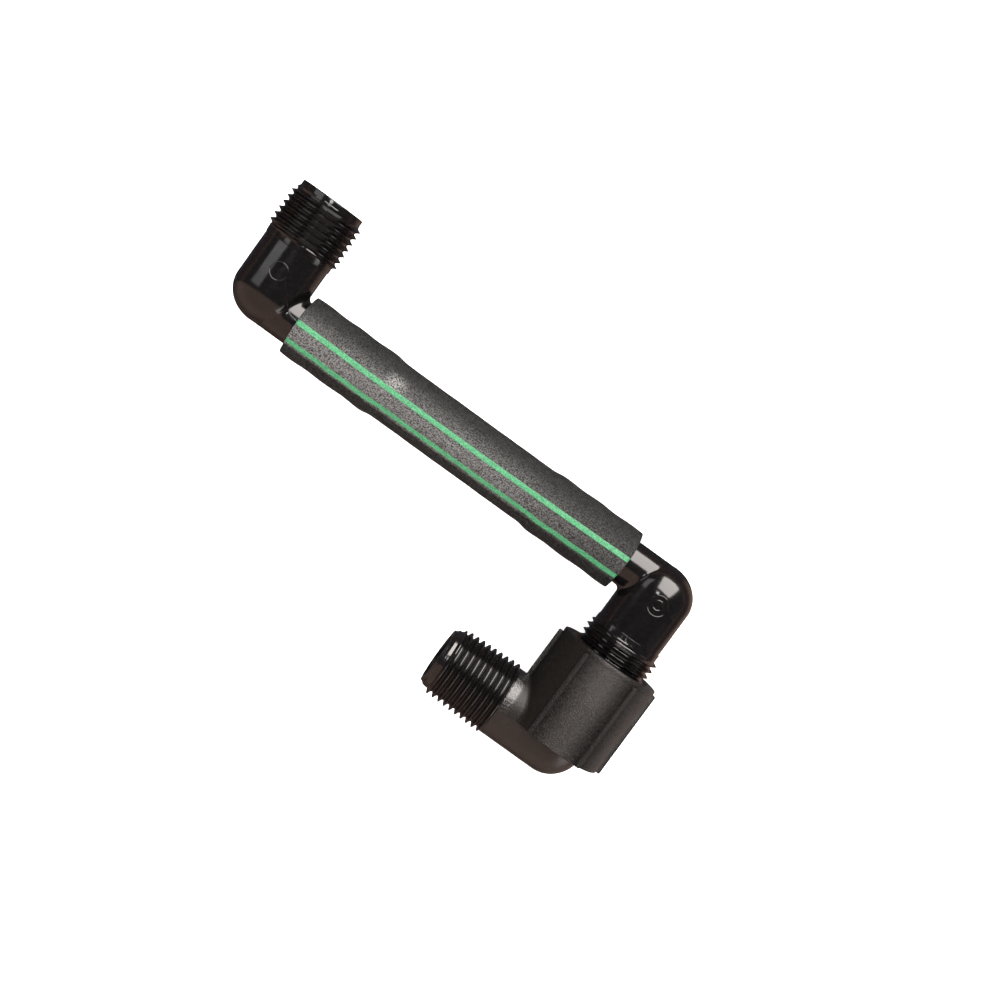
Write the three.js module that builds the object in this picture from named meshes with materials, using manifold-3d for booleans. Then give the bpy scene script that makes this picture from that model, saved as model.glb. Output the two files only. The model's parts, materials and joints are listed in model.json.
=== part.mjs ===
// Swing joint for a lawn sprinkler, nominal 1/2 inch by 6 inches, in millimetres.
// Water enters at the street elbow, climbs through two insert elbows joined by a length of
// polyethylene swing pipe, and leaves at the upper elbow, where the sprinkler screws on.
// The joint lies flat: every pipe axis is in one plane, +X along the swing pipe towards the
// street elbow, +Y from the street elbow's end towards the outlet, and +Z up.
import * as THREE from "three";
import { mergeVertices } from "three/addons/utils/BufferGeometryUtils.js";
import Module from "manifold-3d";

const wasm = await Module();
wasm.setup();

const INCH = 25.4;

// The 1/2-14 tapered pipe thread that all three male ends carry.
const thread = {
  pitch: INCH / 14,
  taper: 1 / 32, // radius lost for each millimetre towards the end
  rootShare: 0.2, // share of the pitch that the flat root takes
};

const pipe = {
  length: 103.2,
  radius: 8.125,
  boreRadius: 6.0,
  bulgeRadius: 8.6, // where the barbs stretch it
  bulgeBore: 6.8,
  mouthBore: 6.42, // where it closes on the elbow's shank
  bulgeLength: 27,
  bulgeRamp: 3.6,
  mouthLength: 3,
  edge: 0.35,
};

const stripe = {
  halfWidth: 0.65,
  thickness: 0.35,
  clearance: 0.05,
  angles: { pipe_stripe_crown: 3.3, pipe_stripe_side: -34 }, // degrees from +Z towards +Y
  drift: 1.0, // degrees from the middle to the +X end
  bow: 2.9, // degrees that both ends turn past the middle
};

// Both insert elbows are one moulding, pushed into the pipe to different depths.
const insert = {
  lowerInset: 12.4, // from the end of the pipe to the lower elbow's stem axis
  upperInset: 11.0,
  stemRadius: 9.4,
  domeCentre: 2.2,
  domeHeight: 8.55,
  shankRadius: 6.3,
  neckFillet: 1.4,
  neckWidth: 3.2,
  threadStart: 16.8,
  threadEnd: 29.2,
  endFace: 30.7,
  rootRadius: 9.55, // at threadStart
  threadHeight: 1.25,
  pilotRadius: 9.1,
  pilotChamfer: 0.3,
  boreRadius: 6.4,
  boreStart: 4,
  barbBore: 4.4,
  barbStart: 15.5, // from the stem's axis
  barbEnd: 39.0,
  barbRoot: 5.6,
  barbHeight: 1.05,
  barbPitch: 5.2,
  shoulder: 1, // length of the slope from the shank down to the barb's root
  noseLength: 2,
  noseRadius: 5.1,
};

const street = {
  socketRadius: 14.3,
  socketLength: 25.4, // from the arm's axis to the rim
  socketDrop: 0.9, // how far the socket goes on below the arm's axis
  rimChamfer: 0.5,
  ribCount: 6,
  ribWidth: 1.3,
  ribRadius: 15.45,
  ribFromRim: 1.2,
  engagement: 7.95, // length of the insert elbow's thread inside the socket
  threadDepth: 15,
  threadClearance: 0.15,
  countersink: 0.9,
  armRadius: 9.75,
  keelReach: 9.1,
  armLength: 36.9,
  threadStart: 17.2,
  threadEnd: 35.1,
  rootRadius: 9.15, // at threadStart
  threadHeight: 1.3,
  leadInRadius: 7.8, // at the end face
  boreRadius: 6.4,
};

const round = { wide: 36, narrow: 28, thread: 20 }; // segments round a circle
const sunk = 0.5; // how far a piece of a moulding reaches into the next one
const lowerBend = pipe.length / 2 + insert.lowerInset;
const upperBend = -pipe.length / 2 - insert.upperInset;
const socketRim = insert.endFace - street.engagement; // from the pipe's axis
const streetAxis = socketRim + street.socketLength; // from the pipe's axis to the arm's

const X = new THREE.Vector3(1, 0, 0);
const Y = new THREE.Vector3(0, 1, 0);

// A closed geometry as a solid that can be joined and cut.
function solid(geometry) {
  const bare = new THREE.BufferGeometry();
  bare.setAttribute("position", geometry.getAttribute("position"));
  if (geometry.index) bare.setIndex(geometry.index);
  const merged = mergeVertices(bare, 1e-4);
  const corners = merged.index.array;
  const kept = [];
  for (let i = 0; i < corners.length; i += 3) {
    const [a, b, c] = [corners[i], corners[i + 1], corners[i + 2]];
    if (a !== b && b !== c && c !== a) kept.push(a, b, c);
  }
  return new wasm.Manifold(
    new wasm.Mesh({
      numProp: 3,
      vertProperties: merged.getAttribute("position").array,
      triVerts: new Uint32Array(kept),
    }),
  );
}

// A solid as a geometry with flat faces.
function geometryOf(shape) {
  const mesh = shape.getMesh();
  const geometry = new THREE.BufferGeometry();
  geometry.setAttribute("position", new THREE.BufferAttribute(mesh.vertProperties, 3));
  geometry.setIndex(new THREE.BufferAttribute(mesh.triVerts, 1));
  const faceted = geometry.toNonIndexed();
  faceted.computeVertexNormals();
  return faceted;
}

// Turns what was made along +Y to lie along another direction.
function along(geometry, direction) {
  const turn = new THREE.Quaternion().setFromUnitVectors(Y, direction);
  return geometry.applyQuaternion(turn);
}

// A solid of revolution about +Y from [radius, height] points that go up its outside.
function turned(points, segments = round.wide, direction = Y) {
  const outline = points.map(([radius, height]) => new THREE.Vector2(radius, height));
  return solid(along(new THREE.LatheGeometry(outline, segments), direction));
}

// A quarter of an ellipse as [radius, height] points, from the axis up to the widest place.
function domeOutline(radius, height, centre, steps = 6) {
  const curve = new THREE.EllipseCurve(0, centre, radius, height, -Math.PI / 2, 0);
  return curve.getPoints(steps).map((p) => [Math.max(p.x, 0), p.y]);
}

// A bar along +Y from one height to another, with a right-handed ridge wound round it.
// ridge holds [share of the pitch, share of the ridge's height] points for one turn.
// The ridge grows out of the bar over one runOut at each end.
function helicalBar({ from, to, pitch, ridge, root, height, runOut, segments = round.thread }) {
  const firstTurn = Math.floor(from / pitch) - 1;
  const turns = Math.ceil(to / pitch) + 1 - firstTurn;
  const rows = turns * ridge.length;
  const least = 0.04 * pitch;
  const positions = [0, from, 0, 0, to, 0];
  const found = new Map();

  function vertex(row, column) {
    const turn = firstTurn + Math.floor(row / ridge.length) + column / segments;
    const [share, rise] = ridge[row % ridge.length];
    let y = (turn + share) * pitch;
    let key = row * segments + column;
    if (y < from + least) {
      y = from;
      key = -2 - column;
    } else if (y > to - least) {
      y = to;
      key = -2 - segments - column;
    }
    if (!found.has(key)) {
      const grown = Math.min(1, (y - from) / runOut, (to - y) / runOut);
      const radius = root(y) + rise * height * grown;
      const angle = (2 * Math.PI * column) / segments;
      found.set(key, positions.length / 3);
      positions.push(radius * Math.sin(angle), y, radius * Math.cos(angle));
    }
    return found.get(key);
  }

  // The last column meets the first one a whole turn further on.
  function meeting(row, column) {
    if (column < segments) return vertex(Math.min(row, rows - 1), column);
    return vertex(Math.min(row + ridge.length, rows - 1), 0);
  }

  const triangles = [];
  for (let column = 0; column < segments; column += 1) {
    for (let row = 0; row < rows - 1; row += 1) {
      const a = meeting(row, column);
      const b = meeting(row, column + 1);
      const c = meeting(row + 1, column + 1);
      const d = meeting(row + 1, column);
      triangles.push(a, b, c, a, c, d);
    }
    triangles.push(0, meeting(0, column + 1), meeting(0, column));
    triangles.push(1, meeting(rows - 1, column), meeting(rows - 1, column + 1));
  }
  const geometry = new THREE.BufferGeometry();
  geometry.setAttribute("position", new THREE.Float32BufferAttribute(positions, 3));
  geometry.setIndex(triangles);
  return geometry;
}

// One turn of the pipe thread: a flat root, then a sharp crest between 60 degree flanks.
const threadRidge = [
  [0, 0],
  [thread.rootShare, 0],
  [(1 + thread.rootShare) / 2, 1],
];

// One turn of the spiral barb: a long slope that faces the pipe and a short back.
const barbRidge = [
  [0, 0],
  [0.12, 1],
  [0.22, 1],
  [0.85, 0],
];

function maleThread(from, to, rootRadius, height) {
  return helicalBar({
    from,
    to,
    pitch: thread.pitch,
    ridge: threadRidge,
    root: (y) => rootRadius - (y - from) * thread.taper,
    height,
    runOut: thread.pitch / 2,
  });
}

// An insert elbow: the bend is at the origin, the barb lies along +X and the stem along +Y.
function insertElbow() {
  const p = insert;
  const stem = turned([
    ...domeOutline(p.stemRadius, p.domeHeight, p.domeCentre),
    [p.stemRadius, p.threadStart],
    [0, p.threadStart],
  ]);
  const shank = turned(
    [
      [0, 0],
      [p.shankRadius, 0],
      [p.shankRadius, p.barbStart - p.shoulder],
      [p.barbRoot, p.barbStart],
      [p.barbRoot, p.barbStart + sunk],
      [0, p.barbStart + sunk],
    ],
    round.narrow,
    X,
  );
  const male = solid(
    maleThread(p.threadStart - sunk, p.threadEnd, p.rootRadius, p.threadHeight),
  );
  const pilot = turned([
    [0, p.threadEnd - sunk],
    [p.pilotRadius, p.threadEnd - sunk],
    [p.pilotRadius, p.endFace - p.pilotChamfer],
    [p.pilotRadius - p.pilotChamfer, p.endFace],
    [0, p.endFace],
  ]);
  const barb = solid(
    along(
      helicalBar({
        from: p.barbStart,
        to: p.barbEnd - p.noseLength,
        pitch: p.barbPitch,
        ridge: barbRidge,
        root: () => p.barbRoot,
        height: p.barbHeight,
        runOut: p.barbPitch / 4,
      }),
      X,
    ),
  );
  const nose = turned(
    [
      [0, p.barbEnd - p.noseLength - sunk],
      [p.barbRoot, p.barbEnd - p.noseLength - sunk],
      [p.barbRoot, p.barbEnd - p.noseLength / 2],
      [p.noseRadius, p.barbEnd],
      [0, p.barbEnd],
    ],
    round.narrow,
    X,
  );
  const water = turned(
    [
      ...domeOutline(p.barbBore, p.barbBore, 0, 4),
      [p.boreRadius, p.boreStart],
      [p.boreRadius, p.endFace + 1],
      [0, p.endFace + 1],
    ],
    round.narrow,
  );
  const barbWater = turned(
    [
      [0, 0],
      [p.barbBore, 0],
      [p.barbBore, p.barbEnd + 1],
      [0, p.barbEnd + 1],
    ],
    round.thread,
    X,
  );
  const body = stem.add(shank).add(neckFillet()).add(male).add(pilot).add(barb).add(nose);
  return body.subtract(water).subtract(barbWater);
}

// The web that rounds the inner corner between the stem and the shank.
function neckFillet() {
  const p = insert;
  const r = p.neckFillet;
  const inner = p.shankRadius - sunk;
  const outline = new THREE.Shape();
  outline.moveTo(p.stemRadius - 1, inner);
  outline.lineTo(p.stemRadius + r, inner);
  outline.lineTo(p.stemRadius + r, p.shankRadius);
  outline.absarc(p.stemRadius + r, p.shankRadius + r, r, -Math.PI / 2, -Math.PI, true);
  outline.lineTo(p.stemRadius - 1, p.shankRadius + r);
  outline.closePath();
  const web = new THREE.ExtrudeGeometry(outline, {
    depth: p.neckWidth,
    bevelEnabled: false,
    curveSegments: 5,
  });
  return solid(web.translate(0, 0, -p.neckWidth / 2));
}

// The street elbow: its axes cross at the origin, the socket opens along +Y, the arm lies
// along -X. The socket is bored clear of the insert elbow's thread crests, so that the
// insert elbow can turn in it.
function streetElbow() {
  const p = street;
  const rim = p.socketLength;
  const socket = turned([
    [0, -p.socketDrop],
    [p.socketRadius, -p.socketDrop],
    [p.socketRadius, rim - p.rimChamfer],
    [p.socketRadius - p.rimChamfer, rim],
    [0, rim],
  ]);
  const keel = turned([
    ...domeOutline(p.armRadius, p.armRadius, 0),
    [p.armRadius, 1],
    [0, 1],
  ]).scale([p.keelReach / p.armRadius, 1, 1]);
  const arm = turned(
    [
      [0, 0],
      [p.armRadius, 0],
      [p.armRadius, p.threadStart],
      [0, p.threadStart],
    ],
    round.wide,
    X.clone().negate(),
  );
  const male = solid(
    along(
      maleThread(p.threadStart - sunk, p.threadEnd, p.rootRadius, p.threadHeight),
      X.clone().negate(),
    ),
  );
  const leadIn = turned(
    [
      [0, p.threadEnd - sunk],
      [p.rootRadius - (p.threadEnd - p.threadStart) * thread.taper, p.threadEnd - sunk],
      [p.leadInRadius, p.armLength],
      [0, p.armLength],
    ],
    round.wide,
    X.clone().negate(),
  );
  let body = socket.add(keel).add(arm).add(male).add(leadIn);
  for (let n = 0; n < p.ribCount; n += 1) body = body.add(rib(n));

  const crest = crestRadiusAt(socketRim) + p.threadClearance;
  const chamberFloor = rim - p.threadDepth;
  const crestAtFloor = crest - p.threadDepth * thread.taper;
  const chamber = turned([
    ...domeOutline(p.boreRadius, p.boreRadius, 0, 4),
    [p.boreRadius, chamberFloor - 1],
    [crestAtFloor, chamberFloor],
    [crest, rim - p.countersink],
    [crest + p.countersink, rim],
    [crest + p.countersink, rim + 1],
    [0, rim + 1],
  ]);
  const inlet = turned(
    [
      [0, 0],
      [p.boreRadius, 0],
      [p.boreRadius, p.armLength + 1],
      [0, p.armLength + 1],
    ],
    round.narrow,
    X.clone().negate(),
  );
  return body.subtract(chamber).subtract(inlet);
}

// The insert elbow's crest radius at a distance from the pipe's axis.
function crestRadiusAt(distance) {
  return insert.rootRadius + insert.threadHeight - (distance - insert.threadStart) * thread.taper;
}

// One of the socket's grip ribs, counted from +X.
function rib(n) {
  const p = street;
  const inner = p.socketRadius - 1;
  const height = p.socketDrop + p.socketLength - p.ribFromRim;
  const bar = new THREE.BoxGeometry(p.ribRadius - inner, height, p.ribWidth);
  bar.translate((p.ribRadius + inner) / 2, height / 2 - p.socketDrop, 0);
  bar.rotateY((n * 2 * Math.PI) / p.ribCount);
  return solid(bar);
}

// The pipe's outside radius at a distance from its middle, wider over both barbs.
function pipeRadius(x) {
  const fromEnd = pipe.length / 2 - Math.abs(x);
  const share = (pipe.bulgeLength + pipe.bulgeRamp / 2 - fromEnd) / pipe.bulgeRamp;
  const eased = THREE.MathUtils.smoothstep(share, 0, 1);
  return THREE.MathUtils.lerp(pipe.radius, pipe.bulgeRadius, eased);
}

// The places along the pipe where its radius is worth a ring, from one end to the other.
function pipeStations() {
  const end = pipe.length / 2;
  const rampStart = end - pipe.bulgeLength - pipe.bulgeRamp / 2;
  const half = [rampStart];
  for (let step = 1; step <= 4; step += 1) half.push(rampStart + (pipe.bulgeRamp * step) / 4);
  half.push(end);
  return [...half.map((x) => -x).reverse(), ...half];
}

function swingPipe() {
  const end = pipe.length / 2;
  const outside = pipeStations().map((x) => [pipeRadius(x), x]);
  outside[0] = [pipe.bulgeRadius, -end + pipe.edge];
  outside[outside.length - 1] = [pipe.bulgeRadius, end - pipe.edge];
  const boreHalf = [
    [pipe.mouthBore, end],
    [pipe.mouthBore, end - pipe.mouthLength + 1],
    [pipe.bulgeBore, end - pipe.mouthLength],
    [pipe.bulgeBore, end - pipe.bulgeLength - pipe.bulgeRamp / 2],
    [pipe.boreRadius, end - pipe.bulgeLength - pipe.bulgeRamp * 1.5],
  ];
  const outline = [
    [pipe.bulgeRadius - pipe.edge, -end],
    ...outside,
    [pipe.bulgeRadius - pipe.edge, end],
    ...boreHalf,
    ...boreHalf.map(([radius, x]) => [radius, -x]).reverse(),
  ];
  outline.push(outline[0]);
  let body = turned(outline, round.wide, X);
  for (const angle of Object.values(stripe.angles)) {
    const { halfWidth, thickness, clearance } = stripe;
    const groove = pipeStrip(angle, halfWidth + clearance, thickness + clearance, -1, end + 1);
    body = body.subtract(solid(groove));
  }
  return body;
}

// A strip along the pipe between two depths under its surface, up to both given ends.
function pipeStrip(angle, halfWidth, bottom, top, end) {
  const stations = pipeStations();
  const count = 16;
  for (let step = 1; step < count; step += 1) stations.push(-end + (2 * end * step) / count);
  stations.push(-end, end);
  const places = stations.filter((x) => Math.abs(x) <= end).sort((a, b) => a - b);
  const across = [-1, 0, 1];
  const positions = [];
  for (const x of places) {
    const share = (2 * x) / pipe.length;
    const turn = angle + stripe.drift * share + stripe.bow * share * share;
    const corners = [
      ...across.map((side) => [side, bottom]),
      ...across.map((side) => [-side, top]),
    ];
    for (const [side, depth] of corners) {
      const radius = pipeRadius(x) - depth;
      const around = THREE.MathUtils.degToRad(turn) + (side * halfWidth) / pipe.radius;
      positions.push(x, radius * Math.sin(around), radius * Math.cos(around));
    }
  }
  const ring = 2 * across.length;
  const triangles = [];
  for (let i = 0; i + 1 < places.length; i += 1) {
    for (let k = 0; k < ring; k += 1) {
      const a = i * ring + k;
      const b = i * ring + ((k + 1) % ring);
      triangles.push(a, b, b + ring, a, b + ring, a + ring);
    }
  }
  const last = (places.length - 1) * ring;
  for (let k = 1; k + 1 < ring; k += 1) {
    triangles.push(0, k + 1, k);
    triangles.push(last, last + k, last + k + 1);
  }
  const geometry = new THREE.BufferGeometry();
  geometry.setAttribute("position", new THREE.Float32BufferAttribute(positions, 3));
  geometry.setIndex(triangles);
  return geometry;
}

const glossBlack = new THREE.MeshStandardMaterial({ color: 0x17171a, roughness: 0.28, metalness: 0 });
const satinBlack = new THREE.MeshStandardMaterial({ color: 0x1b1918, roughness: 0.45, metalness: 0 });
const pipeBlack = new THREE.MeshStandardMaterial({ color: 0x2b2c2c, roughness: 0.6, metalness: 0 });
const stripeGreen = new THREE.MeshStandardMaterial({ color: 0x3fbf74, roughness: 0.6, metalness: 0 });

const swingJoint = new THREE.Group();

function place(name, shape, material) {
  const mesh = new THREE.Mesh(geometryOf(shape), material);
  mesh.name = name;
  swingJoint.add(mesh);
}

const elbow = insertElbow();
place("street_elbow", streetElbow().translate([lowerBend, -streetAxis, 0]), satinBlack);
place("lower_elbow", elbow.rotate([0, 0, 180]).translate([lowerBend, 0, 0]), glossBlack);
place("swing_pipe", swingPipe(), pipeBlack);
for (const [name, angle] of Object.entries(stripe.angles)) {
  const strip = pipeStrip(angle, stripe.halfWidth, stripe.thickness, 0, pipe.length / 2);
  place(name, solid(strip), stripeGreen);
}
place("upper_elbow", elbow.translate([upperBend, 0, 0]), glossBlack);

// The origin is the middle of the underside of the joint's bounding box.
const bounds = new THREE.Box3().setFromObject(swingJoint);
const middle = bounds.getCenter(new THREE.Vector3());
for (const mesh of swingJoint.children) {
  mesh.geometry.translate(-middle.x, -middle.y, -bounds.min.z);
}

export default swingJoint;
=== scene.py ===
"""The looks of a 1/2 inch irrigation swing joint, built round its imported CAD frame."""

import json
import math

import bpy
import numpy as np
from mathutils import Matrix, Vector


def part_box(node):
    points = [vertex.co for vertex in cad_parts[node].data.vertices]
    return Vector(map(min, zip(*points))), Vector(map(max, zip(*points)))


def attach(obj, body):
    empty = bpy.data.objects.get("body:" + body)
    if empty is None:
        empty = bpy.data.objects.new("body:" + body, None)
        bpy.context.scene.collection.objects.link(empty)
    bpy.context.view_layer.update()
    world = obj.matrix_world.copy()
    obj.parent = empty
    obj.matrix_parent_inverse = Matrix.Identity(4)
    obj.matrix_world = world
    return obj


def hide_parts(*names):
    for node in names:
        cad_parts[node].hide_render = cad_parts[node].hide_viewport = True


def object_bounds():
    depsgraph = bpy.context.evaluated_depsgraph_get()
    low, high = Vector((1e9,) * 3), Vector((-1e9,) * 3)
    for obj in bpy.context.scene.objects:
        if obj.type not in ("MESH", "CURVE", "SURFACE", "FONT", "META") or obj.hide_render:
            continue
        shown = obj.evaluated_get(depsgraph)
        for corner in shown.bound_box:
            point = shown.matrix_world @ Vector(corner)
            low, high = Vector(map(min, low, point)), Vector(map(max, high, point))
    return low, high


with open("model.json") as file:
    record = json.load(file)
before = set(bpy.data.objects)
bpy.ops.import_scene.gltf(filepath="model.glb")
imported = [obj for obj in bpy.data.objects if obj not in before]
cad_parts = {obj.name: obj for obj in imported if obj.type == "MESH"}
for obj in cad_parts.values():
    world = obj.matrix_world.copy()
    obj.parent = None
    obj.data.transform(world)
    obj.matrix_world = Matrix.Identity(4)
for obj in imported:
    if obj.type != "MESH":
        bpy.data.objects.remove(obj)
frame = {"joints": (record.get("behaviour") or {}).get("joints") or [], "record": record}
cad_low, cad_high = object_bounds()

MM = 0.001

# ---------------------------------------------------------------- places, from the frame

joints = {joint["name"]: joint for joint in frame["joints"]}
mounts = {mount["name"]: mount for mount in frame["record"]["mounts"]}
pipe_low, pipe_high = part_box("swing_pipe")
pipe_middle = (pipe_low + pipe_high) / 2
lower_stem_x = joints["threaded_swivel"]["pos_m"][0]
upper_stem_x = mounts["outlet_face"]["pos_m"][0]
axis_y, axis_z = joints["lower_barb_swivel"]["pos_m"][1:]
socket_rim_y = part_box("street_elbow")[1].y

# ---------------------------------------------------------------- sizes, in millimetres

PITCH = 25.4 / 14  # of the 1/2-14 pipe thread
TAPER = 1 / 32  # radius lost for each millimetre of thread
OVERLAP = 0.6  # how far a thread or a turned part reaches back into the one before it
SLIVER = 0.02  # kept between surfaces that would fall together

PIPE_HALF = (pipe_high.x - pipe_low.x) / 2 / MM
PIPE_R, PIPE_BORE = 8.125, 6.0
BULGE_R, BULGE_BORE, MOUTH_BORE = 8.6, 6.8, 6.42
BULGE_LENGTH, BULGE_RAMP = 27.0, 3.6
LOBE_HEIGHT, LOBE_LENGTH, FIRST_LOBE = 0.09, 10.4, 14.0  # the waves along the bulge
PIPE_EDGE = 0.35  # rounding of the pipe's outer edge at both ends
# Where a highlight is painted on the pipe, in millimetres.
PAINTED_GLINT_SPOT = (25.4, 1.5)  # from the pipe's -X end, and from its axis towards +Y

STRIPE_HALF_WIDTH, STRIPE_THICKNESS = 0.65, 0.3
STRIPE_ANGLES = {"crown": 3.3, "side": -34.0}  # degrees from +Z towards +Y
STRIPE_DRIFT, STRIPE_BOW = 1.0, 2.9  # degrees that a stripe turns towards the pipe's ends

STEM_R, DOME_CENTRE, DOME_HEIGHT, SHANK_R = 9.4, 2.2, 8.55, 6.3
NECK_FILLET, CREASE_FILLET = 1.4, 0.9  # of the insert elbows and of the street elbow
COLLAR_R, COLLAR_START = 9.6, 14.7
INSERT_THREAD, INSERT_END = (16.8, 29.2), 30.7
INSERT_ROOT, INSERT_RIDGE = 9.55, 1.2
PILOT_R, INSERT_BORE = 9.1, 6.4
BARB_BORE, BARB_ROOT, BARB_RIDGE, BARB_PITCH = 4.4, 5.6, 1.05, 5.2
SHANK_JOIN, BARB_START, BARB_END = 13.0, 15.5, 39.0

SOCKET_R, SOCKET_LENGTH, SOCKET_DROP = 14.22, 25.4, 0.9
SOCKET_EDGE = 0.3  # rounding of the socket's lower edge
RIM_R, RIM_DEPTH = 14.3, 1.15
RIB_COUNT, RIB_WIDTH, RIB_R, RIB_EDGE = 6, 1.3, 15.42, 0.22
ARM_R, KEEL_REACH, ARM_LENGTH = 9.75, 9.1, 36.9
ARM_TOP_R = 9.6  # the arm above the mould's parting plane, a little slimmer than the keel
STREET_THREAD = (17.2, 35.1)
STREET_ROOT, STREET_RIDGE = 9.15, 1.25
LEAD_IN_R, STREET_BORE = 7.8, 6.4
CHAMBER_R, CHAMBER_DEPTH, COUNTERSINK = 10.76, 15.0, 0.9

PARTING_BEAD = 0.12
# Across and along the upper elbow's stem, from the bend.
PARTING_LINE = [(2.3, 8.9), (3.2, 6.9), (5.1, 4.5), (6.9, 2.2), (8.6, 1.0), (10.6, 0.6)]


# ---------------------------------------------------------------- mesh helpers


def smoothstep(value):
    """0 below 0, 1 above 1, with a smooth step between."""
    share = np.clip(value, 0.0, 1.0)
    return share * share * (3 - 2 * share)


def make_object(name, points, faces):
    """A mesh object from points; those of a piece are in millimetres until it is placed."""
    mesh = bpy.data.meshes.new(name)
    mesh.from_pydata([tuple(p) for p in points], [], [tuple(f) for f in faces])
    mesh.update()
    made = bpy.data.objects.new(name, mesh)
    bpy.context.scene.collection.objects.link(made)
    return made


def combine(target, tool, operation):
    """Joins or cuts target with tool, which is used up."""
    modifier = target.modifiers.new("combine", "BOOLEAN")
    modifier.object = tool
    modifier.operation = operation
    modifier.solver = "MANIFOLD"
    graph = bpy.context.evaluated_depsgraph_get()
    result = bpy.data.meshes.new_from_object(target.evaluated_get(graph))
    target.modifiers.clear()
    old = target.data
    target.data = result
    bpy.data.meshes.remove(old)
    bpy.data.objects.remove(tool)
    return target


def rounded_outline(corners, steps=5):
    """[radius, height] points with every (radius, height, rounding) corner turned into an arc."""
    points = []
    for i, (radius, height, rounding) in enumerate(corners):
        here = np.array([radius, height])
        if rounding == 0 or i in (0, len(corners) - 1):
            points.append(here)
            continue
        back = np.array(corners[i - 1][:2]) - here
        ahead = np.array(corners[i + 1][:2]) - here
        back /= np.linalg.norm(back)
        ahead /= np.linalg.norm(ahead)
        half_turn = math.acos(np.clip(back @ ahead, -1, 1)) / 2
        reach = rounding / math.tan(half_turn)
        centre = here + (back + ahead) / np.linalg.norm(back + ahead) * rounding / math.sin(half_turn)
        start, end = here + back * reach - centre, here + ahead * reach - centre
        sweep = math.atan2(start[0] * end[1] - start[1] * end[0], start @ end)
        for k in range(steps + 1):
            turn = sweep * k / steps
            cos, sin = math.cos(turn), math.sin(turn)
            points.append(centre + [cos * start[0] - sin * start[1], sin * start[0] + cos * start[1]])
    return points


def turned(name, corners, segments=120):
    """A solid of revolution about +Y; the outline starts and ends on the axis and goes up."""
    outline = rounded_outline(corners)
    first, last = outline[0][1], outline[-1][1]
    rings = [p for p in outline if p[0] > 1e-9]
    angles = np.arange(segments) * 2 * math.pi / segments
    points = [(r * math.sin(a), y, r * math.cos(a)) for r, y in rings for a in angles]
    faces = []
    for i in range(len(rings) - 1):
        for k in range(segments):
            n = (k + 1) % segments
            here, above = i * segments, (i + 1) * segments
            faces.append((here + k, here + n, above + n, above + k))
    top = (len(rings) - 1) * segments
    bottom_centre = len(points)
    points += [(0, first, 0), (0, last, 0)]
    for k in range(segments):
        n = (k + 1) % segments
        faces.append((bottom_centre, n, k))
        faces.append((bottom_centre + 1, top + k, top + n))
    return make_object(name, points, faces)


def helical_bar(name, start, end, pitch, ridge, root, height, run_out, phase=0.0, segments=120):
    """A bar along +Y with a right-handed ridge round it, given as [share of pitch, rise] points."""
    first_turn = math.floor(start / pitch) - 2
    turns = math.ceil(end / pitch) + 2 - first_turn
    count = len(ridge)
    rows = turns * count
    least = 0.03 * pitch
    points, found, faces = [(0, start, 0), (0, end, 0)], {}, []

    def vertex(row, column):
        """The number of a point of the ridge, which is drawn onto an end when it lies beyond it."""
        share, rise = ridge[row % count]
        y = (first_turn + row // count + column / segments + share + phase) * pitch
        key = (row, column)
        if y < start + least:
            y, key = start, ("start", column)
        elif y > end - least:
            y, key = end, ("end", column)
        if key not in found:
            grown = float(smoothstep(min((y - start) / run_out[0], (end - y) / run_out[1])))
            radius = root(y) + rise * height * grown
            angle = 2 * math.pi * column / segments
            found[key] = len(points)
            points.append((radius * math.sin(angle), y, radius * math.cos(angle)))
        return found[key]

    def meeting(row, column):
        """As vertex, but the column after the last is the first of the next turn."""
        if column < segments:
            return vertex(min(row, rows - 1), column)
        return vertex(min(row + count, rows - 1), 0)

    def add(*corners):
        """A face, unless its corners have fallen together."""
        kept = list(dict.fromkeys(corners))
        if len(kept) > 2:
            faces.append(kept)

    for column in range(segments):
        for row in range(rows - 1):
            a, b = meeting(row, column), meeting(row, column + 1)
            c, d = meeting(row + 1, column + 1), meeting(row + 1, column)
            add(a, b, c)
            add(a, c, d)
        add(0, meeting(0, column + 1), meeting(0, column))
        add(1, meeting(rows - 1, column), meeting(rows - 1, column + 1))
    return make_object(name, points, faces)


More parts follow.
